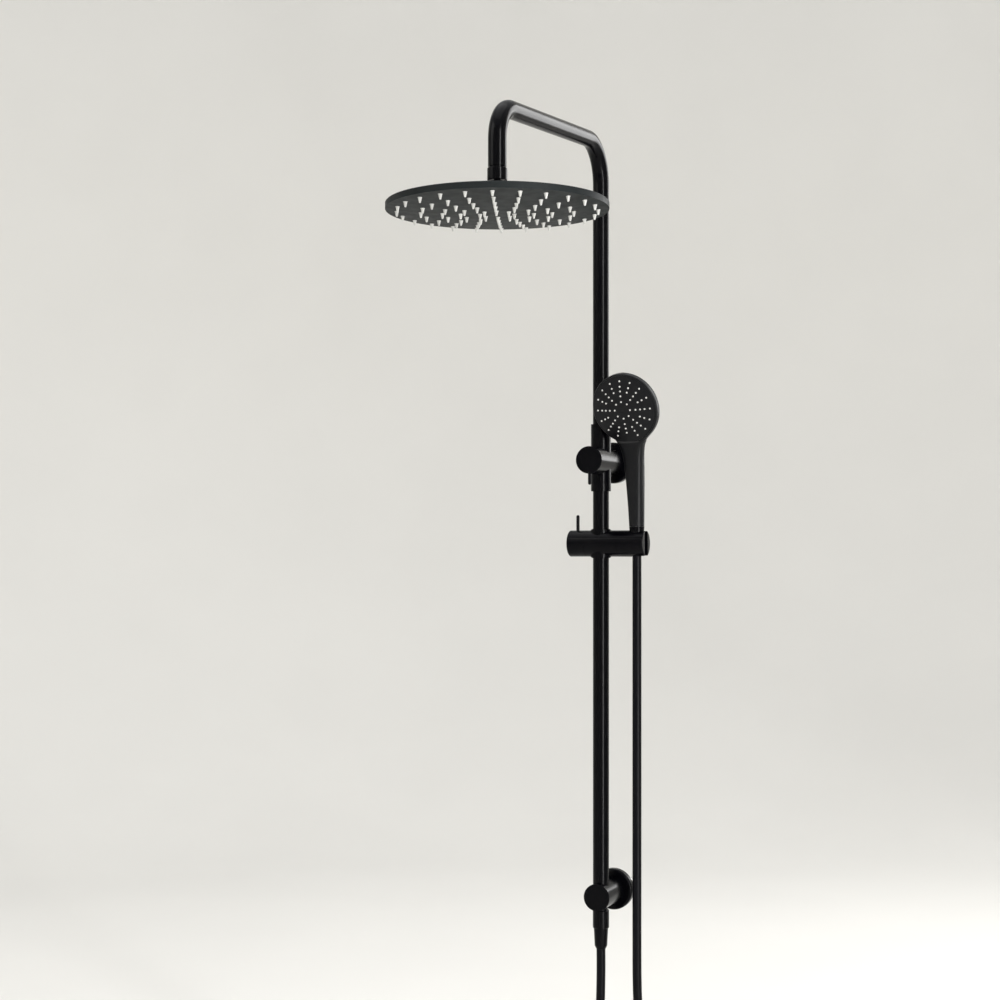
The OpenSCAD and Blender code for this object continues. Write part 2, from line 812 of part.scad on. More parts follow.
module handset_washer() {
    color("#2b2b2b") on_bore() translate([0, 0, cone_up - stub_h - 1.6]) tube(g12_r - 0.2, 5, 1.5);
}

// Centre of the handset's face, in the handset's frame
face_c = [0, -face_out, face_h];
face_lean = face_tilt - holder_lean;

// Frame of the face: origin at the crown of the face, Z out of the face
module on_face() {
    on_handset() translate(face_c) rotate([90 + face_lean, 0, 0]) children();
}

// Depth of the face behind its crown at radius r
function face_drop(r) = face_bulge * pow(r / face_r, 2);

function face_arc(r_max, z, n = 12) = [for (i = [0:n]) let (r = r_max * i / n) [r, z - face_drop(r)]];

module face_sheet(r_max, z, t) {
    rotate_extrude($fn = 96) polygon(concat(face_arc(r_max, z - t), reversed(face_arc(r_max, z))));
}

dish_deep = face_bulge + face_rim;
back_deep = dish_deep + 10;

module face_dish() {
    rotate_extrude($fn = 96) polygon(concat(face_arc(face_r - 2, -0.4), [[face_r - 0.6, -face_bulge - 0.4],
        [face_r, -face_bulge - 1.6], [face_r, -dish_deep + 2], [face_r - 1.5, -dish_deep],
        [face_r * 0.85, -dish_deep - 4], [face_r * 0.6, -dish_deep - 7.5], [face_r * 0.3, -back_deep + 0.8],
        [0, -back_deep]]));
}

module handle_slice(h, r_x, r_y, y) {
    translate([0, y, h]) linear_extrude(0.4) scale([1, r_y / r_x]) circle(r = r_x, $fn = 40);
}

module handset_shell() {
    color("#26282b") difference() {
        union() {
            on_face() face_dish();
            on_handset() {
                hull() {
                    handle_slice(cone_up + 0.3, handle_low_r, handle_low_r, 0);
                    handle_slice(80, 13.2, 12.6, -0.5);
                }
                hull() {
                    handle_slice(80, 13.2, 12.6, -0.5);
                    handle_slice(134, 15.4, 13.6, -4.4);
                }
                hull() {
                    handle_slice(134, 15.4, 13.6, -4.4);
                    handle_slice(160, 21, 11, -12);
                }
                hull() {
                    handle_slice(160, 21, 11, -12);
                    handle_slice(184, 32, 7, -22);
                }
            }
        }
        on_handset() translate([0, 0, cone_up - 1]) cylinder(r = 8.2, h = 108);
        on_handset() translate([0, -4, 126]) rotate([22, 0, 0]) cylinder(r = 4.5, h = 55);
        on_face() translate([0, 0, -dish_deep - 6]) cylinder(r = face_r * 0.62, h = 40);
        on_face() translate([0, 0, -face_bulge - 2.4]) cylinder(r = face_r - 2.2, h = 40);
    }
}

module handset_core() {
    color("#c9c6bd") on_handset() {
        translate([0, 0, cone_up - stub_h]) tube(g12_r, 5, stub_h);
        translate([0, 0, cone_up]) tube(8, 5, 106);
    }
}

module handset_seal() {
    color("#3a3a3a") on_face() translate([0, 0, -face_bulge - 2.4]) tube(face_r - 2.6, face_r - 5, 1.2);
}

module handset_face() {
    color("#2b2d30") on_face() difference() {
        union() {
            face_sheet(face_r - 2.4, 0, 1.6);
            translate([0, 0, -face_bulge - 1.2]) tube(face_r - 2.4, face_r - 5.4, 2);
        }
        at_face_nozzles() translate([0, 0, -3]) cylinder(r = 1.2, h = 6, $fn = 20);
    }
}

// Rings of nozzles: share of the face's radius, and 1 where only every second nozzle is there
face_rings = [[0.813, 0], [0.664, 0], [0.536, 0], [0.402, 1]];
inner_ring = 0.239;
inner_count = 8;

module face_nozzle(r, turn) {
    rotate([0, 0, turn]) translate([r, 0, -face_drop(r)]) children();
}

module at_face_nozzles() {
    for (ring = face_rings)
        for (i = [0:15])
            if ((ring[1] == 0 || i % 2 == 0) && !(i == 8 && ring[0] > 0.8))
                face_nozzle(ring[0] * face_r, 90 + 22.5 * i) children();
    for (i = [0:inner_count - 1])
        face_nozzle(inner_ring * face_r, 90 + 360 * i / inner_count) children();
}

module handset_nozzles() {
    color("#c9c9c7") on_face() {
        face_sheet(face_r - 6, -1.6 - 2 * seat, 1);
        at_face_nozzles() translate([0, 0, -2]) cylinder(r1 = 1.1, r2 = 0.8, h = 3.2, $fn = 16);
    }
}

// ---------- hose ----------

function hose_point(i) = [hose_route[i][0], pole_y, hose_route[i][1]];

// Catmull-Rom point between route points i and i + 1
function route_at(i, t) = let (
    n = len(hose_route) - 1,
    a = hose_point(max(i - 1, 0)), b = hose_point(i), c = hose_point(min(i + 1, n)), d = hose_point(min(i + 2, n)))
    0.5 * ((2 * b) + (c - a) * t + (2 * a - 5 * b + 4 * c - d) * t * t + (3 * b - a - 3 * c + d) * t * t * t);

hose_path = concat([for (i = [0:len(hose_route) - 2]) for (t = [0, 0.5]) route_at(i, t)],
    [hose_point(len(hose_route) - 1)]);

// Direction of the path at ring i, in the XZ plane; the first and last rings lie flat
function path_dir(i) = let (n = len(hose_path) - 1)
    i == 0 ? [0, 0, -1] : i == n ? [0, 0, 1] :
    let (d = hose_path[i + 1] - hose_path[i - 1]) d / norm(d);

module hose() {
    dirs = [for (i = [0:len(hose_path) - 1]) path_dir(i)];
    color("#18191c") swept_rod(hose_path, dirs, [0, 1, 0], hose_d / 2, 12);
}

riser();
riser_spigot();
riser_o_rings();
arm_nipple();
swivel_nut();
nut_washer();
ball_ring();
ball_joint();
head_shell();
head_seal();
head_plate();
head_nozzles();
diverter_body();
wall_nipple();
inlet_washer();
upper_flange();
sleeve_screws();
diverter_cartridge();
cartridge_nut();
diverter_spindle();
diverter_knob();
diverter_pin();
pole();
pole_spigots();
pole_o_rings();
foot_body();
foot_cap();
foot_flange();
wall_plate();
wall_screws();
foot_screw();
outlet_nipple();
outlet_washer();
outlet_nut();
slider_body();
slide_bush();
brake_pad();
clamp_screw();
clamp_knob();
clamp_pin();
holder_washer();
holder_pivot();
holder();
cone_nut();
handset_washer();
handset_core();
handset_shell();
handset_seal();
handset_face();
handset_nozzles();
hose();
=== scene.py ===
"""Dresses the rainfall shower column: coatings, gooseneck, spray nozzles, handset, hose, threads and studio."""

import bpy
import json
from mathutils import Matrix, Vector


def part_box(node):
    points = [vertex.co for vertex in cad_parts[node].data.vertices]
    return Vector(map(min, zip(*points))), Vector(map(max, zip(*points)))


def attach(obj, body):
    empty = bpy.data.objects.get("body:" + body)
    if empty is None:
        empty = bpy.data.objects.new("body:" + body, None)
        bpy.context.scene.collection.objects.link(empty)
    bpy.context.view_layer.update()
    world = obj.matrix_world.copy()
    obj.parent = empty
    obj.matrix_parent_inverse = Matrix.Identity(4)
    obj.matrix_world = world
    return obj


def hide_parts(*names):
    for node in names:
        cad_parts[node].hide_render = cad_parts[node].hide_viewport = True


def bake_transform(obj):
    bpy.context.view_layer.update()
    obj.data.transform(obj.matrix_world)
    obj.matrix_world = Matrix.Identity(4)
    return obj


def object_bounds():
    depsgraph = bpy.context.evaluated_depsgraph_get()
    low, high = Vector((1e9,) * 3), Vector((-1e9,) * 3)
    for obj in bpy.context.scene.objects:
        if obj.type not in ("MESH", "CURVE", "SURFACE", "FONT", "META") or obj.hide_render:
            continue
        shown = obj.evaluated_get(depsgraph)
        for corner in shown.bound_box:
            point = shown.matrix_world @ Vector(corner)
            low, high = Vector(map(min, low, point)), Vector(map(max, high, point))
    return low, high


bl_info = {
    "name": "Rainfall Shower Column",
    "version": (1, 0, 0),
    "blender": (4, 5, 0),
    "location": "View3D > Sidebar > Shower",
    "description": "Builds the looks of a shower column around its fixed frame",
    "category": "Object",
}

import json
import math

import bmesh
import bpy
from bpy.props import FloatProperty, FloatVectorProperty, IntProperty, PointerProperty
from mathutils import Matrix, Vector

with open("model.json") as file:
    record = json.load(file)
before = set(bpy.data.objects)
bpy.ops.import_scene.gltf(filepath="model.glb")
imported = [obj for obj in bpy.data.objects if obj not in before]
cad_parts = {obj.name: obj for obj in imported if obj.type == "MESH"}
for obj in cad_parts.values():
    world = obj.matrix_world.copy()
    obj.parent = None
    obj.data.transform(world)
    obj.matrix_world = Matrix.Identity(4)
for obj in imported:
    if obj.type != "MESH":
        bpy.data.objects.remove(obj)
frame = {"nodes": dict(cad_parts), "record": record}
CAD_BOX = [list(corner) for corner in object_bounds()]

# ---------------------------------------------------------------------------------------------------------------
# Places and sizes taken from the frame, in metres
# ---------------------------------------------------------------------------------------------------------------


def middle(node):
    """Centre of a node's box."""
    low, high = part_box(node)
    return (low + high) / 2


def span(node):
    """Size of a node's box."""
    low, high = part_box(node)
    return high - low


POLE = middle("pole")
TUBE_R = span("pole").x / 2
TUBE_WALL = 0.0015
SLIDER_Z = middle("clamp_screw").z
HOLDER_X = middle("handset_washer").x
NOSE_Y = middle("swivel_nut").y
NOSE_GAP = 0.002
NOSE_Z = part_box("swivel_nut")[1].z + NOSE_GAP
RISER_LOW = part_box("riser")[0].z
RISER_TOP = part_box("riser")[1].z
HEAD_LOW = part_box("head_shell")[0].z
HEAD_R = span("head_shell").x / 2
FOOT_Z = middle("foot_body").z
NIPPLE_LOW, NIPPLE_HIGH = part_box("wall_nipple")
NIPPLE_R = span("wall_nipple").x / 2
WATER_R = 0.007
SCREW_R = 0.0024
SCREW_CIRCLE_R = 0.0245
SCREW_COUNT = 3

# Where the pieces of the hose meet: each lies on the straight stretch under the handset
UPPER_CUT = -0.235
MIDDLE_CUT = -0.400

# Route of the hose in the plane of the pole, as (x, z): from the cone nut down, round and up to the outlet
HOSE_ROUTE = [
    (0.0587, -0.146), (0.0587, -0.170), (0.0587, -0.200), (0.0587, -0.235), (0.0587, -0.280), (0.0587, -0.340),
    (0.0587, -0.400), (0.0587, -0.460), (0.0587, -0.530), (0.0587, -0.600), (0.0587, -0.670), (0.0587, -0.740),
    (0.059, -0.800), (0.061, -0.850), (0.067, -0.905), (0.077, -0.955), (0.088, -1.000), (0.096, -1.043),
    (0.099, -1.083), (0.094, -1.112), (0.080, -1.136), (0.058, -1.152), (0.032, -1.157), (0.006, -1.152),
    (-0.016, -1.136), (-0.030, -1.112), (-0.036, -1.083), (-0.033, -1.043), (-0.026, -1.000), (-0.016, -0.955),
    (-0.007, -0.905), (-0.0015, -0.850), (0.0, -0.800), (0.0, -0.757)]

# Rain head: rings of nozzles as (share of the head's radius, count)
HEAD_RINGS = [(0.9, 24), (0.683, 20), (0.49, 16), (0.327, 12), (0.153, 8)]
# Handset: rings of nozzles as (radius, count, the one left out at the handle or -1)
FACE_RINGS = [(0.0443, 16, 8), (0.0362, 16, -1), (0.0292, 16, -1), (0.0219, 8, -1), (0.013, 8, -1)]


# ---------------------------------------------------------------------------------------------------------------
# Settings that a user would change
# ---------------------------------------------------------------------------------------------------------------


def length(name, description, default):
    return FloatProperty(name=name, description=description, default=default, min=0.0, unit="LENGTH", precision=4)


def angle(name, description, degrees):
    return FloatProperty(name=name, description=description, default=math.radians(degrees), unit="ROTATION")


def tint(name, description, default):
    return FloatVectorProperty(name=name, description=description, default=default, size=3, min=0, max=1,
                               subtype="COLOR")


class SHOWER_PG_sizes(bpy.types.PropertyGroup):
    rear_bend: length("Rear bend", "Centreline radius of the bend above the riser", 0.060)
    front_bend: length("Front bend", "Centreline radius of the bend above the rain head", 0.050)
    arm_slope: angle("Arm slope", "Slope of the arm down towards the rain head", 4.8)
    head_bulge: length("Rain head bulge", "Bulge of the spray plate below its rim", 0.006)
    head_turn: angle("Nozzle turn", "Turn of the rain head's nozzle rings", 110.0)
    rain_nozzle: length("Rain nozzle", "Length of a rain nozzle", 0.007)
    face_r: length("Handset face", "Radius of the handset's round face", 0.0545)
    face_out: length("Face offset", "Distance of the face's crown ahead of the handle", 0.044)
    face_height: length("Face height", "Height of the face's crown above the slider", 0.2036)
    face_bulge: length("Face bulge", "Bulge of the handset's face", 0.008)
    face_tilt: angle("Face tilt", "Lean of the handset's face", 19.6)
    holder_lean: angle("Holder lean", "Lean of the holder's bore", 2.0)
    handset_turn: angle("Handset turn", "Turn of the handset about its handle", 9.0)
    hose_d: length("Hose diameter", "Outside diameter of the hose", 0.014)
    thread_pitch: length("Pipe thread", "Pitch of the inlet nipple's thread", 0.00181)
    screw_pitch: length("Screw thread", "Pitch of the wall screws' thread", 0.0018)
    hose_sides: IntProperty(name="Hose sides", description="Faces round the hose", default=32, min=12, max=64)


class SHOWER_PG_colours(bpy.types.PropertyGroup):
    coat: tint("Black coat", "Colour of the coated brass and steel", (0.0010, 0.0010, 0.0016))
    head: tint("Rain head", "Colour of the rain head", (0.013, 0.0152, 0.0158))
    handset: tint("Handset", "Colour of the handset's casing", (0.0045, 0.0047, 0.0054))
    silicone: tint("Nozzles", "Colour of the spray nozzles", (0.56, 0.56, 0.54))
    hose: tint("Hose", "Colour of the hose", (0.0016, 0.0016, 0.0026))
    brass: tint("Brass", "Colour of raw brass", (0.72, 0.50, 0.22))
    steel: tint("Steel", "Colour of stainless steel", (0.62, 0.61, 0.60))
    studio: tint("Studio", "Colour of the floor and the cove", (0.74, 0.73, 0.70))


# ---------------------------------------------------------------------------------------------------------------
# Finishes
# ---------------------------------------------------------------------------------------------------------------


def blank_finish(name):
    """A new material, its nodes, its links and its shader."""
    material = bpy.data.materials.new(name)
    material.use_nodes = True
    nodes = material.node_tree.nodes
    return material, nodes, material.node_tree.links, nodes["Principled BSDF"]


def noise(nodes, links, scale, detail=3.0, stretch=(1, 1, 1)):
    """Noise on the piece's own coordinates; stretch draws it out along an axis."""
    place = nodes.new("ShaderNodeTexCoord")
    fit = nodes.new("ShaderNodeMapping")
    fit.inputs["Scale"].default_value = stretch
    texture = nodes.new("ShaderNodeTexNoise")
    texture.inputs["Scale"].default_value = scale
    texture.inputs["Detail"].default_value = detail
    links.new(place.outputs["Object"], fit.inputs["Vector"])
    links.new(fit.outputs["Vector"], texture.inputs["Vector"])
    return texture.outputs["Fac"]


def spread(nodes, links, factor, low, high, start=0.35, end=0.65):
    """The factor's middle stretch, spread from low to high."""
    reach = nodes.new("ShaderNodeMapRange")
    for socket, value in zip(("From Min", "From Max", "To Min", "To Max"), (start, end, low, high)):
        reach.inputs[socket].default_value = value
    links.new(factor, reach.inputs["Value"])
    return reach.outputs["Result"]


def two_tone(nodes, links, shader, factor, dark, light):
    """Base colour that runs from dark to light with a factor."""
    blend = nodes.new("ShaderNodeMix")
    blend.data_type = "RGBA"
    ends = [socket for socket in blend.inputs if socket.type == "RGBA"]
    for socket, colour in zip(ends, (dark, light)):
        socket.default_value = (*colour, 1)
    links.new(factor, blend.inputs["Factor"])
    mixed = [socket for socket in blend.outputs if socket.type == "RGBA"][0]
    links.new(mixed, shader.inputs["Base Color"])


def relief(nodes, links, shader, height, strength, distance):
    """Fine bump from a height pattern; distance is its depth in metres."""
    bump = nodes.new("ShaderNodeBump")
    bump.inputs["Strength"].default_value = strength
    bump.inputs["Distance"].default_value = distance
    links.new(height, bump.inputs["Height"])
    links.new(bump.outputs["Normal"], shader.inputs["Normal"])


def scaled(colour, share):
    """A colour made darker or lighter."""
    return tuple(min(1.0, channel * share) for channel in colour)


def coated_metal(name, colour, smooth, rough, peel):
    """Black coat on metal: cloudy handling marks in the gloss and the fine peel of a sprayed coat."""
    material, nodes, links, shader = blank_finish(name)
    cloud = noise(nodes, links, 22, 5)
    two_tone(nodes, links, shader, spread(nodes, links, cloud, 0, 1), scaled(colour, 0.92), scaled(colour, 1.08))
    links.new(spread(nodes, links, cloud, smooth, rough), shader.inputs["Roughness"])
    relief(nodes, links, shader, noise(nodes, links, 1400, 2), peel, 0.00004)
    shader.inputs["Specular IOR Level"].default_value = 0.075
    return material


def moulded_plastic(name, colour, smooth, rough, grain, grain_scale, shine=0.4):
    """Moulded plastic with a fine spark-eroded grain and faint flow marks."""
    material, nodes, links, shader = blank_finish(name)
    flow = noise(nodes, links, 9, 4, (1, 1, 0.35))
    two_tone(nodes, links, shader, spread(nodes, links, flow, 0, 1), scaled(colour, 0.9), scaled(colour, 1.12))
    links.new(spread(nodes, links, noise(nodes, links, 60, 4), smooth, rough), shader.inputs["Roughness"])
    relief(nodes, links, shader, noise(nodes, links, grain_scale, 3), grain, 0.00005)
    shader.inputs["Specular IOR Level"].default_value = shine
    return material


def turned_metal(name, colour, smooth, rough, stretch):
    """Bare metal with the fine scratches of turning or brushing, drawn out by stretch."""
    material, nodes, links, shader = blank_finish(name)
    scratch = noise(nodes, links, 420, 4, stretch)
    two_tone(nodes, links, shader, spread(nodes, links, scratch, 0, 1), scaled(colour, 0.82), scaled(colour, 1.08))
    links.new(spread(nodes, links, noise(nodes, links, 130, 4, stretch), smooth, rough), shader.inputs["Roughness"])
    relief(nodes, links, shader, scratch, 0.25, 0.00003)
    shader.inputs["Metallic"].default_value = 1.0
    return material


def soft_rubber(name, colour, rough, glow):
    """Silicone or rubber: matte, slightly cloudy, with light that enters a little way."""
    material, nodes, links, shader = blank_finish(name)
    cloud = noise(nodes, links, 70, 4)
    two_tone(nodes, links, shader, spread(nodes, links, cloud, 0, 1), scaled(colour, 0.92), scaled(colour, 1.06))
    links.new(spread(nodes, links, noise(nodes, links, 300, 3), rough - 0.08, rough + 0.08),
              shader.inputs["Roughness"])
    relief(nodes, links, shader, noise(nodes, links, 900, 2), 0.15, 0.00005)
    shader.inputs["Subsurface Weight"].default_value = glow
    shader.inputs["Subsurface Radius"].default_value = (0.002, 0.002, 0.002)
    return material


def hose_skin(name, colour):
    """Smooth extruded hose: long streaks in the gloss along its length."""
    material, nodes, links, shader = blank_finish(name)
    streak = noise(nodes, links, 160, 4, (1, 1, 0.06))
    two_tone(nodes, links, shader, spread(nodes, links, streak, 0, 1), scaled(colour, 0.8), scaled(colour, 1.3))
    links.new(spread(nodes, links, noise(nodes, links, 45, 4, (1, 1, 0.2)), 0.30, 0.40),
              shader.inputs["Roughness"])
    relief(nodes, links, shader, streak, 0.04, 0.00004)
    shader.inputs["Specular IOR Level"].default_value = 0.09
    return material


FINISHES = {}


def make_finishes(colours):
    """One finish for each material slot of the record."""
    coat, head, handset = tuple(colours.coat), tuple(colours.head), tuple(colours.handset)
    FINISHES.update({
        "satin_black": coated_metal("satin black coat", coat, 0.19, 0.21, 0.015),
        "head_black": moulded_plastic("rain head satin", head, 0.46, 0.54, 0.12, 2200, 0.06),
        "handset_black": moulded_plastic("handset satin", handset, 0.34, 0.42, 0.1, 2600, 0.14),
        "grey_silicone": soft_rubber("grey silicone", tuple(colours.silicone), 0.5, 0.25),
        "raw_brass": turned_metal("turned brass", tuple(colours.brass), 0.22, 0.38, (1, 0.06, 1)),
        "stainless": turned_metal("brushed stainless", tuple(colours.steel), 0.25, 0.42, (0.05, 1, 1)),
        "black_rubber": soft_rubber("black rubber", (0.02, 0.02, 0.02), 0.62, 0.0),
        "white_nylon": moulded_plastic("white nylon", (0.75, 0.74, 0.70), 0.38, 0.5, 0.2, 1800),
        "grey_nylon": moulded_plastic("grey nylon", (0.09, 0.09, 0.095), 0.4, 0.55, 0.2, 1800),
        "hose_black": hose_skin("hose skin", tuple(colours.hose))})


def dress(piece, slot_name):
    """Gives a piece the finish of a material slot."""
    piece.data.materials.clear()
    piece.data.materials.append(FINISHES[slot_name])
    return piece


# ---------------------------------------------------------------------------------------------------------------
# Shapes
# ---------------------------------------------------------------------------------------------------------------


def piece_from(name, verts, faces, smooth_angle=35):
    """A shaded mesh object at the origin, its faces turned outwards and its sharp edges marked."""
    mesh = bpy.data.meshes.new(name)
    shape = bmesh.new()
    corners = [shape.verts.new(v) for v in verts]
    for face in faces:
        shape.faces.new([corners[i] for i in face])
    bmesh.ops.remove_doubles(shape, verts=shape.verts, dist=1e-6)
    bmesh.ops.recalc_face_normals(shape, faces=shape.faces)
    for edge in shape.edges:
        edge.smooth = edge.calc_face_angle(math.pi) < math.radians(smooth_angle)
    for face in shape.faces:
        face.smooth = True
    shape.to_mesh(mesh)
    shape.free()
    piece = bpy.data.objects.new(name, mesh)
    bpy.context.scene.collection.objects.link(piece)
    return piece


def turned(outline, sides, first=0):
    """Points and faces of a closed outline of (radius, height) turned about Z."""
    rows = len(outline)
    verts = [(r * math.cos(2 * math.pi * k / sides), r * math.sin(2 * math.pi * k / sides), z)
             for r, z in outline for k in range(sides)]
    faces = []
    for i in range(rows):
        a, b = first + i * sides, first + (i + 1) % rows * sides
        for k in range(sides):
            j = (k + 1) % sides
            faces.append((a + k, a + j, b + j, b + k))
    return verts, faces


def placed(verts, matrix):
    """Points moved by a matrix."""
    return [tuple(matrix @ Vector(v)) for v in verts]


def directions(path):
    """Unit direction of a path at each of its points."""
    last = len(path) - 1
    return [(path[min(i + 1, last)] - path[max(i - 1, 0)]).normalized() for i in range(last + 1)]


def ring_at(centre, heading, side, radius, sides):
    """Ring of points square to a heading; side is the normal of the path's plane."""
    across = heading.cross(side)
    return [centre + radius * (math.cos(t) * across + math.sin(t) * side)
            for t in (2 * math.pi * k / sides for k in range(sides))]


def swept(name, path, headings, side, radius, sides, bore=0.0):
    """A round rod along a path, or a tube if it has a bore; both ends are closed."""
    walls = [radius] if bore <= 0 else [radius, bore]
    verts = [p for r in walls for c, h in zip(path, headings) for p in ring_at(c, h, side, r, sides)]
    rows = len(path)
    inner = rows * sides
    faces = []
    for base in range(0, inner * len(walls), inner):
        for i in range(rows - 1):
            for k in range(sides):
                j = (k + 1) % sides
                a = base + i * sides
                faces.append((a + k, a + j, a + sides + j, a + sides + k))
    for end in (0, (rows - 1) * sides):
        if bore <= 0:
            faces.append([end + k for k in range(sides)])
        else:
            faces += [(end + k, end + (k + 1) % sides, inner + end + (k + 1) % sides, inner + end + k)
                      for k in range(sides)]
    return piece_from(name, verts, faces)


def smooth_route(points, steps):
    """Catmull-Rom curve through points, with steps stretches between neighbours."""
    last = len(points) - 1
    path = []
    for i in range(last):
        a, b, c, d = (points[max(i - 1, 0)], points[i], points[i + 1], points[min(i + 2, last)])
        for n in range(steps):
            t = n / steps
            path.append(0.5 * (2 * b + (c - a) * t + (2 * a - 5 * b + 4 * c - d) * t ** 2
                               + (3 * b - a - 3 * c + d) * t ** 3))
    return path + [points[last]]


# ---------------------------------------------------------------------------------------------------------------
# Node trees for what repeats
# ---------------------------------------------------------------------------------------------------------------


def new_tree(name, inputs):
    """An empty geometry tree with a geometry input and output and the named inputs (name, socket type, default)."""
    tree = bpy.data.node_groups.new(name, "GeometryNodeTree")
    face = tree.interface
    face.new_socket("Geometry", in_out="INPUT", socket_type="NodeSocketGeometry")
    for title, kind, default in inputs:
        item = face.new_socket(title, in_out="INPUT", socket_type=kind)
        if default is not None:
            item.default_value = default
    face.new_socket("Geometry", in_out="OUTPUT", socket_type="NodeSocketGeometry")
    return tree, tree.nodes.new("NodeGroupInput"), tree.nodes.new("NodeGroupOutput")


def finish_tree(tree, given, result, made):
    """Realizes what was made, gives it its material and joins it to the geometry that came in."""
    links = tree.links
    real = tree.nodes.new("GeometryNodeRealizeInstances")
    paint = tree.nodes.new("GeometryNodeSetMaterial")
    join = tree.nodes.new("GeometryNodeJoinGeometry")
    links.new(made, real.inputs["Geometry"])
    links.new(real.outputs["Geometry"], paint.inputs["Geometry"])
    links.new(given.outputs["Material"], paint.inputs["Material"])
    links.new(given.outputs["Geometry"], join.inputs["Geometry"])
    links.new(paint.outputs["Geometry"], join.inputs["Geometry"])
    links.new(join.outputs["Geometry"], result.inputs["Geometry"])


def vector_along_z(tree, number):
    """A vector along Z as long as a number in the tree."""
    combine = tree.nodes.new("ShaderNodeCombineXYZ")
    tree.links.new(number, combine.inputs["Z"])
    return combine.outputs["Vector"]


def ring_of_nozzles_tree():
    """A ring of one nozzle repeated round Z, with one place that may be left out."""
    tree, given, result = new_tree("Ring of nozzles", [
        ("Radius", "NodeSocketFloat", 0.05), ("Count", "NodeSocketInt", 8), ("First Angle", "NodeSocketFloat", 0.0),
        ("Height", "NodeSocketFloat", 0.0), ("Left Out", "NodeSocketInt", -1), ("Nozzle", "NodeSocketObject", None),
        ("Material", "NodeSocketMaterial", None)])
    nodes, links = tree.nodes, tree.links
    circle = nodes.new("GeometryNodeMeshCircle")
    place = nodes.new("GeometryNodeTransform")
    index = nodes.new("GeometryNodeInputIndex")
    kept = nodes.new("FunctionNodeCompare")
    kept.data_type = "INT"
    kept.operation = "NOT_EQUAL"
    nozzle = nodes.new("GeometryNodeObjectInfo")
    copies = nodes.new("GeometryNodeInstanceOnPoints")
    links.new(given.outputs["Count"], circle.inputs["Vertices"])
    links.new(given.outputs["Radius"], circle.inputs["Radius"])
    links.new(circle.outputs["Mesh"], place.inputs["Geometry"])
    links.new(vector_along_z(tree, given.outputs["Height"]), place.inputs["Translation"])
    links.new(vector_along_z(tree, given.outputs["First Angle"]), place.inputs["Rotation"])
    whole = [socket for socket in kept.inputs if socket.type == "INT"]
    links.new(index.outputs["Index"], whole[0])
    links.new(given.outputs["Left Out"], whole[1])
    links.new(given.outputs["Nozzle"], nozzle.inputs["Object"])
    links.new(place.outputs["Geometry"], copies.inputs["Points"])
    links.new(kept.outputs["Result"], copies.inputs["Selection"])
    links.new(nozzle.outputs["Geometry"], copies.inputs["Instance"])
    finish_tree(tree, given, result, copies.outputs["Instances"])
    return tree


def thread_tree():
    """A screw thread: one ridge that climbs round Z from a start height."""
    tree, given, result = new_tree("Screw thread", [
        ("Radius", "NodeSocketFloat", 0.01), ("Pitch", "NodeSocketFloat", 0.0018),
        ("Length", "NodeSocketFloat", 0.02), ("Start", "NodeSocketFloat", 0.0), ("Ridge", "NodeSocketFloat", 0.0006),
        ("Material", "NodeSocketMaterial", None)])
    nodes, links = tree.nodes, tree.links
    turns = nodes.new("ShaderNodeMath")
    turns.operation = "DIVIDE"
    spiral = nodes.new("GeometryNodeCurveSpiral")
    spiral.inputs["Resolution"].default_value = 36
    ridge = nodes.new("GeometryNodeCurvePrimitiveCircle")
    ridge.inputs["Resolution"].default_value = 6
    sweep = nodes.new("GeometryNodeCurveToMesh")
    sweep.inputs["Fill Caps"].default_value = True
    place = nodes.new("GeometryNodeTransform")
    links.new(given.outputs["Length"], turns.inputs[0])
    links.new(given.outputs["Pitch"], turns.inputs[1])
    links.new(turns.outputs["Value"], spiral.inputs["Rotations"])
    links.new(given.outputs["Radius"], spiral.inputs["Start Radius"])
    links.new(given.outputs["Radius"], spiral.inputs["End Radius"])
    links.new(given.outputs["Length"], spiral.inputs["Height"])
    links.new(given.outputs["Ridge"], ridge.inputs["Radius"])
    links.new(spiral.outputs["Curve"], sweep.inputs["Curve"])
    links.new(ridge.outputs["Curve"], sweep.inputs["Profile Curve"])
    links.new(sweep.outputs["Mesh"], place.inputs["Geometry"])
    links.new(vector_along_z(tree, given.outputs["Start"]), place.inputs["Translation"])
    finish_tree(tree, given, result, place.outputs["Geometry"])
    return tree


def grow(piece, tree, values):
    """Adds a tree to a piece as a modifier with its inputs set by name."""
    modifier = piece.modifiers.new(tree.name, "NODES")
    modifier.node_group = tree
    names = {item.name: item.identifier for item in tree.interface.items_tree
             if item.item_type == "SOCKET" and item.in_out == "INPUT"}
    for title, value in values.items():
        modifier[names[title]] = value


def bake(piece, matrix):
    """Turns the piece's evaluated shape into its plain mesh, moved to where it belongs."""
    bpy.context.view_layer.update()
    graph = bpy.context.evaluated_depsgraph_get()
    mesh = bpy.data.meshes.new_from_object(piece.evaluated_get(graph))
    piece.modifiers.clear()
    piece.data = mesh
    mesh.transform(matrix)
    for polygon in mesh.polygons:
        polygon.use_smooth = True
    mesh.update()
    return piece


# ---------------------------------------------------------------------------------------------------------------
# Pieces of the column
# ---------------------------------------------------------------------------------------------------------------


def camera_at_the_column():
    """Camera that stands to the right of the column, level, a little below its upper bracket."""
    data = bpy.data.cameras.new("camera")
    data.sensor_width = 36.0
    data.lens = 64.58
    data.shift_y = 0.045
    data.clip_end = 60.0
    camera = bpy.data.objects.new("camera", data)
    camera.location = (0.9226, -2.7027, -0.130)
    camera.rotation_euler = (math.radians(90), 0, math.radians(22.5))
    bpy.context.scene.collection.objects.link(camera)
    bpy.context.scene.camera = camera


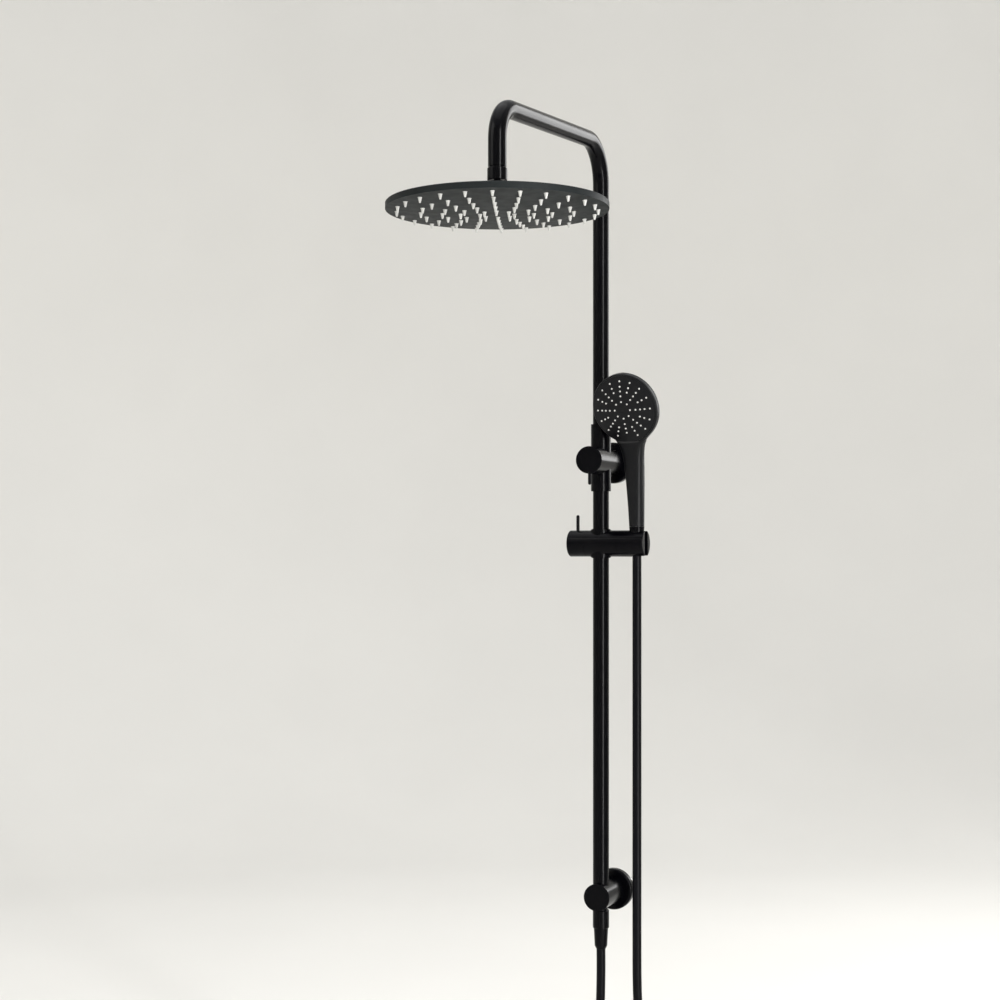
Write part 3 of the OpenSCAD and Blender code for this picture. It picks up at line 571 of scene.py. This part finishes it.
def hose_pieces(sizes):
    """The hose in three stretches, cut on the straight run under the handset."""
    route = [Vector((x, POLE.y, z)) for x, z in HOSE_ROUTE]
    heights = [z for _, z in HOSE_ROUTE]
    cuts = [0, heights.index(UPPER_CUT), heights.index(MIDDLE_CUT), len(route) - 1]
    steps = 8
    path = smooth_route(route, steps)
    headings = directions(path)
    headings[0] = Vector((0, 0, -1))
    headings[-1] = Vector((0, 0, 1))
    made = []
    for name, a, b in zip(("hose_upper", "hose_middle", "hose_lower"), cuts, cuts[1:]):
        part = slice(a * steps, b * steps + 1)
        piece = swept(name, path[part], headings[part], Vector((0, 1, 0)), sizes.hose_d / 2, sizes.hose_sides)
        dress(piece, "hose_black")
        made.append((piece, [tuple(p) for p in path[part]]))
    return made


def fit_hose(sizes):
    """Hangs the hose in its three stretches in place of the frame's hose."""
    (upper, upper_path), (middle_part, middle_path), (lower, lower_path) = hose_pieces(sizes)
    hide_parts("hose")
    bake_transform(lower)
    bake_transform(middle_part)
    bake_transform(upper)


def fit_riser(sizes):
    """Riser and gooseneck in one bent tube, from the upper sleeve to the nose above the rain head."""
    slope = sizes.arm_slope
    rear, front = sizes.rear_bend, sizes.front_bend
    rear_tan = rear * math.tan((math.pi / 2 + slope) / 2)
    front_tan = front * math.tan((math.pi / 2 - slope) / 2)
    arm_z = RISER_TOP - TUBE_R - rear + rear_tan
    reach = POLE.y - NOSE_Y
    corner_z = arm_z - reach * math.tan(slope)
    steps = 32

    def bend(y, z, radius, start, end):
        turns = [start + (end - start) * i / steps for i in range(steps + 1)]
        return [(y + radius * math.cos(t), z + radius * math.sin(t), t + math.pi / 2) for t in turns]

    line = [(POLE.y, RISER_LOW, math.pi / 2)]
    line += bend(POLE.y - rear, arm_z - rear_tan, rear, 0, math.pi / 2 + slope)
    line += bend(NOSE_Y + front, corner_z - front_tan, front, math.pi / 2 + slope, math.pi)
    line += [(NOSE_Y, NOSE_Z, 1.5 * math.pi)]
    path = [Vector((0, y, z)) for y, z, _ in line]
    headings = [Vector((0, math.cos(t), math.sin(t))) for _, _, t in line]
    tube = swept("riser_tube", path, headings, Vector((1, 0, 0)), TUBE_R, 72, TUBE_R - TUBE_WALL)
    dress(tube, "satin_black")
    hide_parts("riser")
    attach(tube, "arm")


def nozzle_shape(name, root, tip, long, hole):
    """One silicone nozzle that points down from z = 0, with a rounded shoulder and a sunk hole in its tip."""
    outline = [(root * 1.18, 0.0003), (root * 1.18, -0.0004), (root, -0.0009), (tip * 1.05, -long + 0.0005),
               (tip * 0.85, -long), (hole, -long), (hole * 0.7, -long + 0.0012), (0.00002, -long + 0.0014),
               (0.00002, 0.0003)]
    verts, faces = turned(outline, 16)
    return piece_from(name, verts, faces, 60)


def nozzle_field(name, tree, nozzle, rings, matrix):
    """Rings of nozzles as one plain mesh: rings is a list of (radius, count, first angle, height, left out)."""
    field = piece_from(name, [], [])
    for radius, count, first, height, left_out in rings:
        grow(field, tree, {"Radius": radius, "Count": count, "First Angle": first, "Height": height,
                           "Left Out": left_out, "Nozzle": nozzle, "Material": FINISHES["grey_silicone"]})
    bake(field, matrix)
    bpy.data.objects.remove(nozzle)
    dress(field, "grey_silicone")
    return field


def fit_rain_nozzles(sizes, tree):
    """Nozzles of the rain head on its bulging plate."""
    def drop(r):
        return sizes.head_bulge * (1 - (r / HEAD_R) ** 2)

    skin = 0.0002
    rings = [(share * HEAD_R, count, sizes.head_turn, skin - drop(share * HEAD_R), -1)
             for share, count in HEAD_RINGS]
    nozzle = nozzle_shape("rain_nozzle", 0.0025, 0.00125, sizes.rain_nozzle, 0.0006)
    field = nozzle_field("rain_nozzles", tree, nozzle, rings, Matrix.Translation((0, NOSE_Y, HEAD_LOW)))
    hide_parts("head_nozzles")
    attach(field, "rain_head")


# Frames of the handset: the bore's, the handle's and the face's


def bore_frame(sizes):
    return Matrix.Translation((HOLDER_X, POLE.y, SLIDER_Z)) @ Matrix.Rotation(sizes.holder_lean, 4, "X")


def handle_frame(sizes):
    return bore_frame(sizes) @ Matrix.Rotation(-sizes.handset_turn, 4, "Z")


def face_frame(sizes):
    lean = math.pi / 2 + sizes.face_tilt - sizes.holder_lean
    return (handle_frame(sizes) @ Matrix.Translation((0, -sizes.face_out, sizes.face_height))
            @ Matrix.Rotation(lean, 4, "X"))


def fit_handset_nozzles(sizes, tree):
    """Nozzles of the handset on its bulging face."""
    def drop(r):
        return sizes.face_bulge * (r / sizes.face_r) ** 2

    rings = [(r, count, math.pi / 2, drop(r), left_out) for r, count, left_out in FACE_RINGS]
    nozzle = nozzle_shape("spray_nozzle", 0.0011, 0.00085, 0.0014, 0.0004)
    face_down = face_frame(sizes) @ Matrix.Rotation(math.pi, 4, "Y")
    field = nozzle_field("handset_spray_nozzles", tree, nozzle, rings, face_down)
    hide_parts("handset_nozzles")
    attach(field, "handset")


# Sections up the handle, as (height, forward, half width, front, back, front squareness), in millimetres
HANDLE_SECTIONS = [
    (26.3, 0.0, 11.75, 11.75, 11.75, 2.0), (40, 0.2, 12.1, 11.9, 12.2, 2.1), (57, 0.6, 12.6, 12.2, 12.8, 2.3),
    (80, 1.6, 13.4, 12.6, 13.6, 2.6), (101, 2.8, 14.3, 12.8, 14.2, 2.9), (118, 4.2, 15.2, 12.8, 14.2, 3.1),
    (133, 6.2, 16.4, 12.7, 13.4, 3.2), (145, 8.4, 18.4, 12.4, 12.2, 3.4), (152, 9.8, 20.6, 12.0, 11.0, 3.7)]


def ease(low, high, x):
    """0 up to low, 1 from high on, and smooth between them."""
    t = min(max((x - low) / (high - low), 0.0), 1.0)
    return t * t * (3 - 2 * t)


def soft_max(a, b):
    """The larger of two sizes, with a soft change from one to the other."""
    return (a ** 4 + b ** 4) ** 0.25


def section(centre, up, half, front, back, square, sides):
    """Points of one section across the handset: square shapes its front, and its back stays round."""
    out = Vector((1, 0, 0)).cross(up)
    ring = []
    for k in range(sides):
        t = 2 * math.pi * k / sides
        c, s = math.cos(t), math.sin(t)
        power = square if s < 0 else 2.0
        x = half * math.copysign(abs(c) ** (2 / power), c)
        y = (front if s < 0 else back) * math.copysign(abs(s) ** (2 / power), s)
        ring.append(centre + Vector((1, 0, 0)) * x - out * y)
    return ring


def handset_sections(sizes):
    """Sections from the cone nut up the handle and over the round head, in the handle's frame."""
    mm = 0.001
    radius = sizes.face_r / mm
    lean = sizes.face_tilt - sizes.holder_lean
    up = Vector((0, -math.sin(lean), math.cos(lean)))
    out = Vector((0, -math.cos(lean), -math.sin(lean)))
    crown = Vector((0, -sizes.face_out, sizes.face_height)) / mm
    # Depth of the sections' centres behind the face's crown, and the height from which the handle leans
    spine_depth, lean_from = 17.0, 101
    # Stretches between the handle's sections, stretches over the head, and points in each section
    between, steps, sides = 5, 56, 96
    neck_half, neck_front, neck_back, head_front = 23.5, 11.4, 9.5, 7.2
    neck_square, head_square = 4.0, 7.0
    rim_gap, dome_edge, dome_rise, dome_power = 0.25, 2.0, 9.0, 2.4
    # Shares of the head's radius at which the neck's width, front and squareness have faded out
    half_fade, front_fade, square_fade = 0.42, 0.86, 0.8
    heel = crown - radius * up - spine_depth * out
    rows = [Vector((h, -y, w, f)) for h, y, w, f, _, _ in HANDLE_SECTIONS]
    rows.append(Vector((heel.z, heel.y, neck_half, neck_front)))
    others = [Vector((b, q)) for *_, b, q in HANDLE_SECTIONS] + [Vector((neck_back, neck_square))]
    stations = []
    for (h, y, w, f), (b, q) in zip(smooth_route(rows, between), smooth_route(others, between)):
        share = ease(lean_from, heel.z, h)
        stations.append((Vector((0, y, h)), Vector((0, 0, 1)).lerp(up, share).normalized(), w, f, b, q))
    for i in range(1, steps):
        turn = math.pi * i / steps
        t = -radius * math.cos(turn)
        fade = 1 - ease(-radius, -radius * half_fade, t)
        half = soft_max((radius - rim_gap) * math.sin(turn), neck_half * fade)
        dome = dome_edge + dome_rise * (1 - abs(t / radius) ** dome_power)
        back = soft_max(dome, neck_back * (1 - ease(-radius, 0, t)))
        front = head_front + (neck_front - head_front) * (1 - ease(-radius, -radius * front_fade, t))
        square = neck_square + (head_square - neck_square) * ease(-radius, -radius * square_fade, t)
        centre = crown + t * up - spine_depth * out
        stations.append((centre, up, half, front, back, square))
    return [[p * mm for p in section(*station, sides)] for station in stations]


def fit_handset_casing(sizes):
    """Casing of the handset: handle and head lofted in one, and the turned rim that holds the spray face."""
    rings = handset_sections(sizes)
    sides = len(rings[0])
    verts = placed([p for ring in rings for p in ring], handle_frame(sizes))
    faces = [(i * sides + k, i * sides + (k + 1) % sides, (i + 1) * sides + (k + 1) % sides, (i + 1) * sides + k)
             for i in range(len(rings) - 1) for k in range(sides)]
    faces += [list(range(sides)), [(len(rings) - 1) * sides + k for k in range(sides)]]
    r, bulge = sizes.face_r, sizes.face_bulge
    outline = [(r - 0.0022, -bulge - 0.0026), (r - 0.0022, -bulge + 0.0003), (r - 0.0018, -bulge + 0.0004),
               (r - 0.0010, -bulge + 0.0001), (r - 0.0003, -bulge - 0.0006), (r, -bulge - 0.0015),
               (r, -bulge - 0.0050), (r - 0.0004, -bulge - 0.0058), (r - 0.0012, -bulge - 0.0060)]
    rim_verts, rim_faces = turned(outline, 144, len(verts))
    casing = piece_from("handset_casing", verts + placed(rim_verts, face_frame(sizes)), faces + rim_faces)
    dress(casing, "handset_black")
    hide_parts("handset_shell")
    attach(casing, "handset")


# ---------------------------------------------------------------------------------------------------------------
# Threads
# ---------------------------------------------------------------------------------------------------------------


def along_wall(x, y, z):
    """Matrix that turns Z into +Y, into the wall, and moves to a point."""
    return Matrix.Translation((x, y, z)) @ Matrix.Rotation(-math.pi / 2, 4, "X")


def fit_screw_threads(sizes, tree):
    """Thread on each of the three wall screws behind the lower flange."""
    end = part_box("wall_screws")[1].y
    ridge, from_wall, tip = 0.0003, 0.003, 0.001
    values = {"Radius": SCREW_R - ridge / 2, "Pitch": sizes.screw_pitch, "Ridge": ridge, "Start": from_wall,
              "Length": end - from_wall - tip, "Material": FINISHES["stainless"]}
    for i in range(SCREW_COUNT):
        turn = math.radians(90) + 2 * math.pi * i / SCREW_COUNT
        thread = piece_from(f"screw_thread_{i + 1}", [], [])
        grow(thread, tree, values)
        bake(thread, along_wall(SCREW_CIRCLE_R * math.cos(turn), 0, FOOT_Z - SCREW_CIRCLE_R * math.sin(turn)))
        dress(thread, "stainless")
        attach(thread, "column")


def fit_nipple(sizes, tree):
    """Inlet nipple: a turned brass tube with a pipe thread at each side of its relief groove."""
    deep = 0.0008
    ridge = 0.00045
    core = NIPPLE_R - deep
    long = NIPPLE_HIGH.y - NIPPLE_LOW.y
    inside = -NIPPLE_LOW.y
    chamfer = 0.001
    outline = [(WATER_R, 0), (core - chamfer, 0), (core, chamfer), (core, long - chamfer), (core - chamfer, long),
               (WATER_R, long)]
    verts, faces = turned(outline, 64)
    nipple = piece_from("inlet_nipple", verts, faces)
    dress(nipple, "raw_brass")
    values = {"Radius": NIPPLE_R - ridge, "Pitch": sizes.thread_pitch, "Ridge": ridge,
              "Material": FINISHES["raw_brass"]}
    groove = 0.0022
    grow(nipple, tree, {**values, "Start": inside + ridge, "Length": long - inside - chamfer})
    grow(nipple, tree, {**values, "Start": chamfer, "Length": inside - groove - 2 * chamfer})
    bake(nipple, along_wall(0, NIPPLE_LOW.y, 0))
    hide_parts("wall_nipple")
    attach(nipple, "column")


# ---------------------------------------------------------------------------------------------------------------
# Studio
# ---------------------------------------------------------------------------------------------------------------


def cove(colour):
    """Round pale floor that curves up into a wall all round."""
    floor_z = CAD_BOX[0][2] - 0.12
    flat, bend, high = 3.6, 2.6, 6.5
    outline = [(0.001, floor_z), (flat, floor_z)]
    outline += [(flat + bend * math.sin(math.radians(a)), floor_z + bend * (1 - math.cos(math.radians(a))))
                for a in range(5, 91, 5)]
    outline += [(flat + bend, floor_z + high)]
    sides = 128
    verts = [(r * math.cos(2 * math.pi * k / sides), r * math.sin(2 * math.pi * k / sides), z)
             for r, z in outline for k in range(sides)]
    faces = [(i * sides + k, i * sides + (k + 1) % sides, (i + 1) * sides + (k + 1) % sides, (i + 1) * sides + k)
             for i in range(len(outline) - 1) for k in range(sides)]
    studio = piece_from("studio_cove", verts, faces, 180)
    material, nodes, links, shader = blank_finish("studio paint")
    cloud = noise(nodes, links, 1.5, 2)
    two_tone(nodes, links, shader, spread(nodes, links, cloud, 0, 1), scaled(colour, 0.99), scaled(colour, 1.01))
    shader.inputs["Roughness"].default_value = 0.9
    studio.data.materials.append(material)


def soft_box(name, place, aim, wide, high, power, colour):
    """Area light of a given width and height that looks at a point."""
    data = bpy.data.lights.new(name, "AREA")
    data.shape = "RECTANGLE"
    data.size = wide
    data.size_y = high
    data.energy = power
    data.color = colour
    light = bpy.data.objects.new(name, data)
    light.location = place
    light.rotation_euler = (Vector(aim) - Vector(place)).to_track_quat("-Z", "Y").to_euler()
    bpy.context.scene.collection.objects.link(light)


# Soft lights: name, place, point that it looks at, width, height, power in watts and colour
SOFT_BOXES = [
    ("key", (-2.6, -2.8, 2.2), (0, -0.2, -0.1), 2.4, 2.4, 60, (1.0, 0.985, 0.96)),
    ("strip", (2.15, -1.75, 0.0), (0, -0.1, -0.1), 0.20, 3.6, 110, (1, 1, 1)),
    ("top", (0.0, -0.4, 3.2), (0, -0.2, 0), 3.0, 3.0, 40, (1, 1, 1)),
    ("back", (1.6, 3.0, 1.2), (0, -0.1, -0.1), 1.6, 2.4, 70, (1, 1, 1))]


def studio_lights():
    """Four soft boxes and an even sky."""
    for box in SOFT_BOXES:
        soft_box(*box)
    world = bpy.context.scene.world or bpy.data.worlds.new("world")
    bpy.context.scene.world = world
    world.use_nodes = True
    background = world.node_tree.nodes["Background"]
    background.inputs["Color"].default_value = (0.92, 0.93, 0.95, 1)
    background.inputs["Strength"].default_value = 0.92
    bpy.context.scene.view_settings.view_transform = "Standard"


# ---------------------------------------------------------------------------------------------------------------
# Operators
# ---------------------------------------------------------------------------------------------------------------


class SHOWER_OT_camera(bpy.types.Operator):
    """Places the camera"""
    bl_idname = "shower.camera"
    bl_label = "Camera"

    def execute(self, context):
        camera_at_the_column()
        return {"FINISHED"}


class SHOWER_OT_finishes(bpy.types.Operator):
    """Makes the finishes and gives every node of the frame its own"""
    bl_idname = "shower.finishes"
    bl_label = "Finishes"

    def execute(self, context):
        make_finishes(context.scene.shower_colours)
        for part in frame["record"]["subparts"]:
            dress(frame["nodes"][part["node"]], part["material_slot"])
        return {"FINISHED"}


class SHOWER_OT_hose(bpy.types.Operator):
    """Hangs the hose from the handset to the outlet"""
    bl_idname = "shower.hose"
    bl_label = "Hose"

    def execute(self, context):
        fit_hose(context.scene.shower_sizes)
        return {"FINISHED"}


class SHOWER_OT_riser(bpy.types.Operator):
    """Bends the riser and its gooseneck"""
    bl_idname = "shower.riser"
    bl_label = "Riser"

    def execute(self, context):
        fit_riser(context.scene.shower_sizes)
        return {"FINISHED"}


class SHOWER_OT_nozzles(bpy.types.Operator):
    """Sets the silicone nozzles into the rain head and the handset"""
    bl_idname = "shower.nozzles"
    bl_label = "Nozzles"

    def execute(self, context):
        tree = ring_of_nozzles_tree()
        fit_rain_nozzles(context.scene.shower_sizes, tree)
        fit_handset_nozzles(context.scene.shower_sizes, tree)
        return {"FINISHED"}


class SHOWER_OT_handset(bpy.types.Operator):
    """Lofts the handset's casing"""
    bl_idname = "shower.handset"
    bl_label = "Handset"

    def execute(self, context):
        fit_handset_casing(context.scene.shower_sizes)
        return {"FINISHED"}


class SHOWER_OT_threads(bpy.types.Operator):
    """Cuts the threads that go into the wall"""
    bl_idname = "shower.threads"
    bl_label = "Threads"

    def execute(self, context):
        tree = thread_tree()
        fit_nipple(context.scene.shower_sizes, tree)
        fit_screw_threads(context.scene.shower_sizes, tree)
        return {"FINISHED"}


class SHOWER_OT_stage(bpy.types.Operator):
    """Builds the cove and its soft lights"""
    bl_idname = "shower.stage"
    bl_label = "Stage"

    def execute(self, context):
        cove(tuple(context.scene.shower_colours.studio))
        studio_lights()
        return {"FINISHED"}


class SHOWER_PT_panel(bpy.types.Panel):
    """Sizes, colours and pieces of the shower column"""
    bl_idname = "SHOWER_PT_panel"
    bl_label = "Shower Column"
    bl_space_type = "VIEW_3D"
    bl_region_type = "UI"
    bl_category = "Shower"

    def draw(self, context):
        for group in (context.scene.shower_sizes, context.scene.shower_colours):
            box = self.layout.box()
            for name in group.__annotations__:
                box.prop(group, name)
        for operator in OPERATORS:
            self.layout.operator(operator.bl_idname)


OPERATORS = (SHOWER_OT_camera, SHOWER_OT_finishes, SHOWER_OT_hose, SHOWER_OT_riser, SHOWER_OT_nozzles,
             SHOWER_OT_handset, SHOWER_OT_threads, SHOWER_OT_stage)
CLASSES = (SHOWER_PG_sizes, SHOWER_PG_colours, *OPERATORS, SHOWER_PT_panel)


def register():
    for cls in CLASSES:
        bpy.utils.register_class(cls)
    bpy.types.Scene.shower_sizes = PointerProperty(type=SHOWER_PG_sizes)
    bpy.types.Scene.shower_colours = PointerProperty(type=SHOWER_PG_colours)


def unregister():
    del bpy.types.Scene.shower_colours
    del bpy.types.Scene.shower_sizes
    for cls in reversed(CLASSES):
        bpy.utils.unregister_class(cls)


def main():
    register()
    bpy.ops.shower.camera()
    bpy.ops.shower.finishes()
    bpy.ops.shower.hose()
    bpy.ops.shower.riser()
    bpy.ops.shower.nozzles()
    bpy.ops.shower.handset()
    bpy.ops.shower.threads()
    bpy.ops.shower.stage()


if __name__ == "__main__":
    main()
